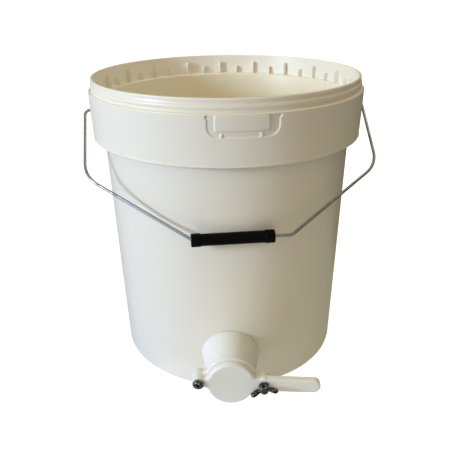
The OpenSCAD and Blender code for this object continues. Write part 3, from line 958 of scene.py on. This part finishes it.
def bucket_profile():
    """Section of the moulding, from the middle of its underside up the outside and down the inside."""
    ledge_low = LEDGE_Z - WALL_T
    web_low = SKIRT_TOP_Z - SKIRT_T
    groove_out_r = GROOVE_IN_R + GROOVE_W
    hem = (skirt_r(SKIRT_LOW_Z) - SKIRT_T / 2, SKIRT_LOW_Z + HEM_R)
    bead_z = BUCKET_H - BEAD_DROP
    under = rounded([
        (0, SPRUE_DEPTH), (SPRUE_R - SPRUE_DEPTH, SPRUE_DEPTH, SPRUE_ROUND), (SPRUE_R, 0, EDGE_ROUND),
        (GROOVE_IN_R, 0, EDGE_ROUND), (GROOVE_IN_R, GROOVE_DEPTH, EDGE_ROUND),
        (groove_out_r, GROOVE_DEPTH, EDGE_ROUND), (groove_out_r, 0, EDGE_ROUND),
        (BASE_R, 0, BASE_ROUND), (wall_r(ledge_low), ledge_low, WEB_ROUND), (RIM_OUT_R, ledge_low, WEB_ROUND),
        (RIM_OUT_R, web_low, WEB_ROUND), (SKIRT_TOP_R - SKIRT_T, web_low, WEB_ROUND), hem])[:-1]
    foot = arc(hem, HEM_R, *HEM_SWEEP, HALF_ROUND_STEPS)
    face_top = SKIRT_TOP_Z - SKIRT_ROUND
    rows = np.arange(face_top - TAB_H - 2 * TAB_EDGE, face_top + SAME_POINT, TAB_STEP)
    face = [(skirt_r(z), z) for z in [hem[1] + 2 * HEM_R, *rows]]
    shoulder = arc((SKIRT_TOP_R - SKIRT_ROUND, face_top), SKIRT_ROUND, *SKIRT_SWEEP, SHOULDER_STEPS)
    bead = [(RIM_OUT_R + BEAD_OUT * x, bead_z + BEAD_HALF * y)
            for x, y in arc((0, 0), 1, -BEAD_SWEEP, BEAD_SWEEP, BEAD_STEPS)]
    neck = [(RIM_OUT_R + EDGE_ROUND, SKIRT_TOP_Z), *bead]
    lip_low = BUCKET_H - LIP_H
    crown = rounded([
        (RIM_OUT_R, lip_low, LIP_FILLET), (RIM_OUT_R + LIP_OUT, lip_low, LIP_FILLET),
        (RIM_OUT_R + LIP_OUT, BUCKET_H, LIP_ROUND), (RIM_IN_R, BUCKET_H, LIP_ROUND),
        (RIM_IN_R, LEDGE_Z, RIM_FILLET), (SHOULDER_R - WALL_T, LEDGE_Z, LEDGE_ROUND),
        (wall_r(FLOOR_T) - WALL_T, FLOOR_T, BASE_ROUND - WALL_T), (0, FLOOR_T)], FILLET_STEPS)
    return [*under, *foot, *face, *shoulder, *neck, *crown]


def bucket_angles():
    """Columns round the bucket, close together over the tear tab."""
    reach = math.asin((TAB_W / 2 + 2 * TAB_EDGE) / skirt_r(SKIRT_LOW_Z))
    fine = np.arange(-reach, reach, TAB_STEP / SKIRT_TOP_R)
    wide = np.linspace(reach, TURN - reach, WIDE_COLUMNS, endpoint=False)
    return TAB_TURN + np.concatenate([fine, wide])


def bucket_shell():
    shell = revolve(bucket_profile(), bucket_angles(), tab_relief, closed=False)
    gate_hole = rod(HOLE_R, NUT_SEAT - WALL_T, FLANGE_BACK, WASHER_SIDES)
    gate_hole.transform(GATE)
    hook_hole = rod(WIRE_R + WIRE_HOLE_GAP, RIM_OUT_R, SKIRT_TOP_R + SKIRT_T, HOLE_SIDES)
    hook_hole.transform(spin("Y", TURN / 4))
    holes = [gate_hole]
    for side in (0, 1):
        hole = hook_hole.copy()
        hole.transform(shift(0, 0, BAIL_Z) @ spin("Z", BAIL_TURN + side * TURN / 2))
        holes.append(hole)
    piece("bucket_shell", "bucket_white", "vessel", ["bucket"], [carve(shell, taken=holes)])


def gusset(height):
    """One upright gusset, seated a little way into the ledge and the rim."""
    outer = RIM_IN_R + RIM_T / 2
    inner = RIM_IN_R - GUSSET_W
    low = LEDGE_Z - WALL_T / 2
    top = LEDGE_Z + height
    outline = rounded([(inner, low), (outer, low), (outer, top), (inner + GUSSET_SLOPE, top, GUSSET_ROUND),
                       (inner, top - GUSSET_SLOPE, GUSSET_ROUND)], CORNER_STEPS)
    mesh = plate(outline, -GUSSET_T / 2, GUSSET_T / 2, GUSSET_EDGE, GUSSET_EDGE)
    mesh.transform(spin("X", TURN / 4))
    return mesh


def gusset_rings():
    """Tall and short gussets by turns, all round the ledge."""
    rings = []
    for height, first in ((GUSSET_TALL, 0), (GUSSET_SHORT, TURN / 2 / GUSSET_PAIRS)):
        copied = new_object("gusset", gusset(height))
        rings.append(grown(RING, {"Count": GUSSET_PAIRS, "First turn": GUSSET_TURN + first, "Copied": copied,
                                  "Finish": FINISHES["bucket_white"]}))
        bpy.data.objects.remove(copied)
    piece("ledge_gussets", "bucket_white", "vessel", [], rings)


# Bail

def bail():
    leg_x = skirt_r(BAIL_Z) + LEG_OUT
    tail_x = (skirt_r(BAIL_Z) - SKIRT_T + wall_r(BAIL_Z)) / 2
    half = [(tail_x, -HOOK_L), (tail_x, 0, TAIL_BEND), (leg_x, 0, HOOK_BEND),
            (leg_x - LEG_LEAN, KNEE_REACH, KNEE_BEND), (HAND_HALF, HAND_REACH, HAND_BEND)]
    route = half + [(-corner[0], *corner[1:]) for corner in reversed(half)]
    points = [(x, y, 0) for x, y in rounded(route, BEND_STEPS)]
    piece("bail_wire_drawn", "wire_steel", "bail", ["bail_wire"], [wire(points, (0, 0, 1))], BAIL)


def grip_seam(radius, height, angle):
    """Two fine mould lines along the sleeve."""
    off = np.abs((angle % (TURN / 2)) - TURN / 4) * GRIP_R
    seam = GRIP_SEAM * np.clip(1 - off / GRIP_SEAM_HALF, 0, 1)
    return np.where(radius > (GRIP_MOUTH_R + GRIP_R) / 2, radius + seam, radius), height


def grip():
    low = [(GRIP_MOUTH_R, 0, GRIP_MOUTH_ROUND), (GRIP_RING_R, 0, GRIP_END_ROUND),
           (GRIP_RING_R, GRIP_RING_L, GRIP_RING_ROUND), (GRIP_R, GRIP_RING_L + GRIP_STEP_L, GRIP_STEP_ROUND)]
    high = [(r, GRIP_L - a, edge) for r, a, edge in reversed(low)]
    end = GRIP_L - GRIP_RING_L
    bore = [(GRIP_MOUTH_R, end), (GRIP_BORE_R, end), (GRIP_BORE_R, GRIP_RING_L), (GRIP_MOUTH_R, GRIP_RING_L)]
    profile = rounded(low + high + [(r, a, GRIP_BORE_ROUND) for r, a in bore])
    place = BAIL @ shift(-HAND_HALF - GRIP_OVER, HAND_REACH, 0) @ spin("Y", TURN / 4)
    sleeve = revolve(profile, BARREL_SIDES, grip_seam)
    piece("bail_grip_sleeve", "grip_black", "grip", ["bail_grip"], [sleeve], place)


# Gate

def wall_depth(radius, angle, gap):
    """Where the bucket's outside, grown by a gap, lies along the gate's axis."""
    x = radius * np.cos(angle)
    y = radius * np.sin(angle)
    across = x * math.cos(GATE_TURN) + y * math.sin(GATE_TURN)
    z = GATE_Z + y * math.cos(GATE_TURN) - x * math.sin(GATE_TURN)
    return np.sqrt((wall_r(z) + gap) ** 2 - across ** 2)


def on_wall(gap):
    """A shape function that sets marked heights on the bucket's outside."""
    def shape(radius, height, angle):
        return radius, np.where(height < 0, wall_depth(radius, angle, gap) - height + WALL_MARK, height)

    return shape


def boss_side(disc_r):
    """An outline's upper half from a disc on to the pivot boss's far end, and the disc's last angle."""
    neck = neck_centre(disc_r, BOSS_R, EAR_X, NECK_FILLET)
    from_boss = degrees((EAR_X - neck[0], -neck[1]))
    side = [*arc((-neck[0], neck[1]), NECK_FILLET, -degrees(neck), -180 - from_boss, NECK_STEPS),
            *arc((-EAR_X, 0), BOSS_R, -from_boss, 180, EAR_STEPS)]
    return side, 180 - degrees(neck)


def flange_outline():
    """The flange's disc with its pivot boss and its clamp ear."""
    neck = neck_centre(FLANGE_R, EAR_R, EAR_X, NECK_FILLET)
    from_ear = degrees((EAR_X - neck[0], -neck[1]))
    boss, disc_end = boss_side(FLANGE_R)
    upper = [
        *arc((EAR_X, 0), EAR_R, 0, from_ear + 180, EAR_STEPS),
        *arc(neck, NECK_FILLET, from_ear, degrees(neck) - 180, NECK_STEPS),
        *arc((0, 0), FLANGE_R, degrees(neck), disc_end, DISC_STEPS),
        *boss]
    return upper + mirrored(upper)[1:-1]


def gate_barrel():
    """The barrel, from the gasket on the bucket's wall into the flange."""
    fillet = (BARREL_FRONT_R + BARREL_FILLET, FLANGE_BACK - BARREL_FILLET)
    profile = [(0, WALL_MARK), (BARREL_BACK_R - BARREL_EDGE, WALL_MARK),
               (BARREL_BACK_R, WALL_MARK - BARREL_EDGE), (BARREL_FRONT_R + BARREL_FLARE, fillet[1]),
               *arc(fillet, BARREL_FILLET, *BARREL_SWEEP, FILLET_STEPS),
               (BARREL_FRONT_R, FLANGE_MIDDLE), (0, FLANGE_MIDDLE)]
    return revolve(profile, BARREL_SIDES, on_wall(GASKET_T), closed=False)


def spigot():
    """The spigot, turned down to its thread's root behind the bucket's wall."""
    root_r = SPIGOT_R - SPIGOT_PITCH * THREAD_SHARE
    profile = rounded([
        (0, SPIGOT_END), (root_r, SPIGOT_END, EDGE_ROUND), (root_r, NUT_SEAT), (SPIGOT_R, NUT_SEAT),
        (SPIGOT_R, FLANGE_BACK), (0, FLANGE_BACK)])
    return revolve(profile, BORE_SIDES, closed=False)


def pivot_boss():
    radius = BOSS_R - SEAL_GAP
    profile = rounded([(0, BOSS_BACK), (radius, BOSS_BACK, BOSS_ROUND), (radius, FLANGE_MIDDLE),
                       (0, FLANGE_MIDDLE)])
    mesh = revolve(profile, SHANK_SIDES, closed=False)
    mesh.transform(shift(-EAR_X, 0, 0))
    return mesh


def gate_cutters():
    """What is taken out of the gate's body: passage, seal groove, nut pocket and screw holes."""
    front = FLANGE_FRONT + OVERRUN
    back = BOSS_BACK - OVERRUN
    passage = rod(BORE_R, SPIGOT_END - OVERRUN, front, BORE_SIDES)
    floor = FLANGE_FRONT - 2 * SEAL_CORD_R - SEAL_GAP
    low_r = SEAL_R - SEAL_CORD_R - SEAL_GAP
    high_r = SEAL_R + SEAL_CORD_R + SEAL_GAP
    groove = revolve([(low_r, floor), (high_r, floor), (high_r, front), (low_r, front)], BORE_SIDES)
    pocket = rod((HEX_FLATS / 2 + SEAL_GAP) / math.cos(TURN / 12), back, BOSS_BACK + NUT_H, HEX_SIDES)
    pocket.transform(shift(-EAR_X, 0, 0) @ spin("Z", TURN / 12))
    holes = [rod(SCREW_HOLE_R, back, front, HOLE_SIDES, x) for x in (-EAR_X, EAR_X)]
    return [passage, groove, pocket, *holes]


def gate_body():
    """One moulding: barrel, flange, pivot boss and threaded spigot."""
    flange = plate(flange_outline(), FLANGE_BACK, FLANGE_FRONT, FLANGE_BACK_ROUND, FLANGE_FRONT_ROUND)
    body = carve(gate_barrel(), [spigot(), pivot_boss(), flange], gate_cutters(), caps=True)
    ridge = thread(SPIGOT_R, SPIGOT_PITCH, SPIGOT_END + SPIGOT_LEAD, NUT_SEAT, "gate_white")
    piece("gate_barrel", "gate_white", "vessel", ["gate_body"], [body, ridge], GATE)


def hook_slot():
    """The hook's slot, along arcs round the pivot, and the angle at which it leaves the eye's rim."""
    apart = 2 * EAR_X
    flanks = (apart - SLOT_R, apart + SLOT_R)
    mouth = [math.degrees(math.acos((r * r - apart * apart - HOOK_EYE_R ** 2) / (2 * apart * HOOK_EYE_R)))
             for r in flanks]
    drop = [math.degrees(math.asin(HOOK_EYE_R * math.sin(math.radians(m)) / r))
            for m, r in zip(mouth, flanks)]
    slot = [
        *arc((-EAR_X, 0), flanks[0], -drop[0], 0, FLANK_STEPS),
        *arc((EAR_X, 0), SLOT_R, 180, 0, HALF_ROUND_STEPS)[1:-1],
        *arc((-EAR_X, 0), flanks[1], 0, -drop[1], FLANK_STEPS)]
    return slot, -mouth[1]


def flap_outline():
    """The flap's disc, its pivot ear, and the lever with the hook's slot."""
    step_h = LEVER_HALF + NECK_FILLET
    neck = (math.sqrt((FLAP_R + NECK_FILLET) ** 2 - step_h ** 2), step_h)
    eye = math.degrees(math.asin(LEVER_HALF / HOOK_EYE_R))
    end = (LEVER_L - LEVER_HALF, 0)
    lever = [*arc(end, LEVER_HALF, 0, 90, EAR_STEPS),
             *arc((EAR_X, 0), HOOK_EYE_R, eye, 180 - eye, NECK_STEPS)]
    boss, disc_end = boss_side(FLAP_R)
    upper = [
        *lever,
        *arc(neck, NECK_FILLET, 270, degrees(neck) + 180, FLANK_STEPS),
        *arc((0, 0), FLAP_R, degrees(neck), disc_end, DISC_STEPS),
        *boss]
    slot, slot_end = hook_slot()
    lower = [
        *mirrored(upper)[1:-len(lever)],
        (EAR_X - math.sqrt(HOOK_EYE_R ** 2 - LEVER_HALF ** 2), -LEVER_HALF),
        *slot,
        *arc((EAR_X, 0), HOOK_EYE_R, slot_end, -eye, TIP_STEPS),
        *arc(end, LEVER_HALF, -90, 0, EAR_STEPS)[:-1]]
    return upper + lower


def gate_flap():
    solid = plate(flap_outline(), FLAP_BACK, FLAP_FRONT, FLAP_BACK_ROUND, FLAP_FRONT_ROUND)
    hole = rod(PIVOT_BORE_R, FLAP_BACK - OVERRUN, FLAP_FRONT + OVERRUN, HOLE_SIDES, -EAR_X)
    bored = carve(solid, taken=[hole], caps=True)
    piece("gate_flap_plate", "gate_white", "flap", ["gate_flap"], [bored], GATE)


def seals():
    """The O-ring behind the flap, and the gaskets on both sides of the bucket's wall."""
    cord = arc((SEAL_R, FLANGE_FRONT - SEAL_CORD_R), SEAL_CORD_R, 0, 360, CORD_SIDES)[:-1]
    piece("face_seal_ring", "seal_rubber", "vessel", ["face_seal"], [revolve(cord, SEAL_SIDES)], GATE)
    face = WALL_MARK - GASKET_T + 2 * GASKET_GAP
    outer = [(HOLE_R, WALL_MARK), (BARREL_BACK_R - SEAL_EDGE, WALL_MARK),
             (BARREL_BACK_R, WALL_MARK - SEAL_EDGE), (BARREL_BACK_R, face), (HOLE_R, face)]
    piece("outer_gasket_ring", "seal_rubber", "vessel", ["outer_gasket"],
          [revolve(outer, BARREL_SIDES, on_wall(GASKET_GAP))], GATE)
    seat = NUT_SEAT + SEAL_GAP
    inner = [(HOLE_R, seat), (INNER_GASKET_R - SEAL_EDGE, seat), (INNER_GASKET_R, seat + SEAL_EDGE),
             (INNER_GASKET_R, WALL_MARK), (HOLE_R, WALL_MARK)]
    piece("inner_gasket_ring", "seal_rubber", "vessel", ["inner_gasket"],
          [revolve(inner, BARREL_SIDES, on_wall(-WALL_T - GASKET_GAP))], GATE)


def lock_nut():
    nut = hexagon(LOCK_NUT_FLATS, LOCK_NUT_BACK, NUT_SEAT, SPIGOT_R + THREAD_GAP)
    piece("lock_nut_hexagon", "gate_white", "vessel", ["lock_nut"], [nut], GATE)


# Fasteners

def shank(low, high, thread_low, thread_high):
    """A screw's shank, threaded up from its low end or down from its high one."""
    root = SCREW_R - THREAD_PITCH * THREAD_SHARE
    low_r, high_r, split = (root, SCREW_R, thread_high) if thread_low == low else (SCREW_R, root, thread_low)
    profile = [(0, low), (low_r - CHAMFER, low), (low_r, low + CHAMFER), (low_r, split), (high_r, split),
               (high_r, high - CHAMFER), (high_r - CHAMFER, high), (0, high)]
    ridge = thread(SCREW_R, THREAD_PITCH, thread_low, thread_high, "fastener_steel")
    return [revolve(profile, SHANK_SIDES, closed=False), ridge]


def pivot_screw():
    """A button-head screw with a hex socket, through the boss into its nut."""
    under = WASHER_SEAT + PIVOT_WASHER_T
    top = under + HEAD_H
    dome_r = (HEAD_R + SOCKET_FLATS / 2) / 2
    profile = rounded([
        (0, under), (HEAD_R, under, HEAD_LOW_ROUND),
        (HEAD_R * HEAD_SIDE_SHARE, under + HEAD_H * HEAD_SIDE_RISE, HEAD_SIDE_ROUND),
        (dome_r, top, HEAD_TOP_ROUND), (0, top)], FILLET_STEPS)
    socket = rod(SOCKET_FLATS / 2 / math.cos(TURN / 12), top - SOCKET_DEPTH, top + OVERRUN, HEX_SIDES)
    head = carve(revolve(profile, HEAD_SIDES, closed=False), taken=[socket])
    low = BOSS_BACK - END_PROUD
    parts = [head, *shank(low, under + SHANK_OVERLAP, low, BOSS_BACK + NUT_H)]
    piece("pivot_screw_turned", "fastener_steel", "vessel", ["pivot_screw"], parts, AT_PIVOT)


def washer(name, node, radius, thickness, place):
    top = WASHER_SEAT + thickness
    section = rounded([(SCREW_HOLE_R, WASHER_SEAT, WASHER_BORE_ROUND), (radius, WASHER_SEAT, WASHER_ROUND),
                       (radius, top, WASHER_ROUND), (SCREW_HOLE_R, top, WASHER_BORE_ROUND)], CORNER_STEPS)
    piece(name, "fastener_steel", "vessel", [node], [revolve(section, WASHER_SIDES)], place)


def pivot_nut():
    nut = hexagon(HEX_FLATS, BOSS_BACK, BOSS_BACK + NUT_H, SCREW_HOLE_R)
    piece("pivot_nut_hexagon", "fastener_steel", "vessel", ["pivot_nut"], [nut], AT_PIVOT)


def clamp_bolt():
    front = WING_SEAT + HUB_H + END_PROUD
    head = hexagon(HEX_FLATS, FLANGE_BACK - BOLT_HEAD_H, FLANGE_BACK, 0)
    head.transform(spin("Z", TURN / 12))
    piece("clamp_bolt_turned", "fastener_steel", "vessel", ["clamp_bolt"],
          [head, *shank(FLANGE_BACK - OVERRUN, front, FLAP_FRONT, front)], AT_CLAMP)


def wing_nut():
    bore_r = SCREW_R + THREAD_GAP
    hub_top = WING_SEAT + HUB_H
    hub = rounded([(bore_r, WING_SEAT, HUB_BORE_ROUND), (HUB_R, WING_SEAT, HUB_LOW_ROUND),
                   (HUB_R - HUB_TAPER, hub_top, HUB_TOP_ROUND), (bore_r, hub_top, HUB_MOUTH_ROUND)])
    root = np.array([HUB_R - CHAMFER, HUB_H / 2])
    tip = np.array([WING_X, WING_Z])
    along = degrees(tip - root)
    across = np.array([root[1] - tip[1], tip[0] - root[0]]) / np.linalg.norm(tip - root)
    end = arc(tip, WING_TIP_R, along - 90, along + 90, HALF_ROUND_STEPS)
    outline = [tuple(root - WING_ROOT * across), *end, tuple(root + WING_ROOT * across)]
    parts = [revolve(hub, WASHER_SIDES)]
    for side in (0, 1):
        wing = plate(outline, -WING_T / 2, WING_T / 2, WING_ROUND, WING_ROUND)
        wing.transform(spin("Z", side * TURN / 2) @ shift(0, 0, WING_SEAT) @ spin("X", TURN / 4))
        parts.append(wing)
    piece("wing_nut_pressed", "fastener_steel", "wing", ["wing_nut"], parts,
          AT_CLAMP @ spin("Z", WING_TURN))


bucket_shell()
gusset_rings()
bail()
grip()
gate_body()
gate_flap()
seals()
lock_nut()
pivot_screw()
washer("pivot_washer_disc", "pivot_washer", PIVOT_WASHER_R, PIVOT_WASHER_T, AT_PIVOT)
pivot_nut()
clamp_bolt()
washer("clamp_washer_disc", "clamp_washer", WASHER_R, WASHER_T, AT_CLAMP)
wing_nut()


# Stage, light and camera, in metres and radians

FLOOR_R = 12
FLOOR_SIDES = 96
COVE_R = 3
COVE_H = 20
COVE_STEPS = 12
CAMERA_PLACE = (-0.00525, -0.71238, 0.4686)
CAMERA_YAW = 0.0115
CAMERA_PITCH = 0.4203
CAMERA_ROLL = 0.0111
PHOTO_SIDE = 460
FOCAL_PIXELS = 573.95
SENSOR = 36
CLIP_START = 0.01
CLIP_END = 200
# Each lamp's name, place, aim, width and height, and power in each colour
LAMPS = (
    ("window", (-1.68, -0.97, 0.75), (0, 0, 0.2), (0.32, 0.42), (16.6, 21.0, 25.6)),
    ("bounce_right", (0.35, -0.3, 0.002), (0.35, -0.3, 1), (0.9, 0.9), (0.67, 0.705, 0.545)),
    ("bounce_left", (-0.45, -0.35, 0.002), (-0.45, -0.35, 1), (0.9, 0.9), (0.1, 0.28, 0.66)),
    ("sky_right", (0.55, 0.35, 1.2), (-0.1, 0, 0.35), (0.6, 0.6), (1.7, 1.9, 2.1)),
)
CEILING = (0.54, 0.43, 0.2, 1)
LEFT_SIDE = (0.41, 0.355, 0.335, 1)
FRONT_SIDE = (0.335, 0.29, 0.255, 1)


def stage_floor():
    """A plain floor that curves up into a wall all round, far away."""
    cove = arc((FLOOR_R, COVE_R), COVE_R, 270, 360, COVE_STEPS)
    mesh = revolve([(0, 0), *cove, (FLOOR_R + COVE_R, COVE_H)], FLOOR_SIDES, closed=False)
    mesh.flip_normals()
    material, nodes, shader, where = surface("pale_floor")
    tone = nodes.noise(where, scale=3.0, detail=2.0)
    nodes.fill(shader, {
        "Base Color": nodes.mix(tone, (0.86, 0.86, 0.86, 1), (0.88, 0.88, 0.88, 1)),
        "Roughness": 0.9,
        "Specular IOR Level": 0.1,
        "Emission Color": (1, 1, 1, 1),
        "Emission Strength": 0.85,
    })
    mesh.materials.append(material)
    floor = new_object("stage_floor", mesh)
    # The floor is lit and shaded, but neither throws light on the object nor keeps the room's light from it
    floor.visible_diffuse = False
    floor.visible_glossy = False
    floor.visible_transmission = False
    floor.visible_shadow = False


def area_light(name, place, aim, size, strength):
    """A soft lamp. Its strength is its power in each colour."""
    light = bpy.data.lights.new(name, "AREA")
    light.shape = "RECTANGLE"
    light.size, light.size_y = size
    light.energy = max(strength)
    light.color = [part / max(strength) for part in strength]
    lamp = new_object(name, light)
    lamp.location = place
    lamp.rotation_mode = "QUATERNION"
    lamp.rotation_quaternion = (Vector(aim) - Vector(place)).to_track_quat("-Z", "Y")


def surroundings():
    """A dim, warm room: light from its ceiling, its left side and its front."""
    world = bpy.data.worlds.new("studio")
    bpy.context.scene.world = world
    world.use_nodes = True
    nodes = Nodes(world.node_tree)
    facing = nodes.add("ShaderNodeTexCoord", out="Generated")
    right, back, up = (nodes.axis(facing, number) for number in range(3))
    tone = (0, 0, 0, 1)
    for side, colour in ((up, CEILING), (-1 * right, LEFT_SIDE), (-1 * back, FRONT_SIDE)):
        tone = nodes.mix(side.between(0.0, 1.0), tone, colour, "ADD")
    nodes.put(world.node_tree.nodes["Background"].inputs["Color"], tone)


def camera():
    lens = bpy.data.cameras.new("photo_camera")
    lens.sensor_width = SENSOR
    lens.lens = FOCAL_PIXELS * SENSOR / PHOTO_SIDE
    lens.clip_start = CLIP_START
    lens.clip_end = CLIP_END
    viewer = new_object("photo_camera", lens)
    turn = spin("Z", -CAMERA_YAW) @ spin("X", TURN / 4 - CAMERA_PITCH) @ spin("Z", -CAMERA_ROLL)
    viewer.matrix_world = shift(*CAMERA_PLACE) @ turn
    bpy.context.scene.camera = viewer


stage_floor()
for lamp in LAMPS:
    area_light(*lamp)
surroundings()
camera()
bpy.context.scene.view_settings.view_transform = "Standard"
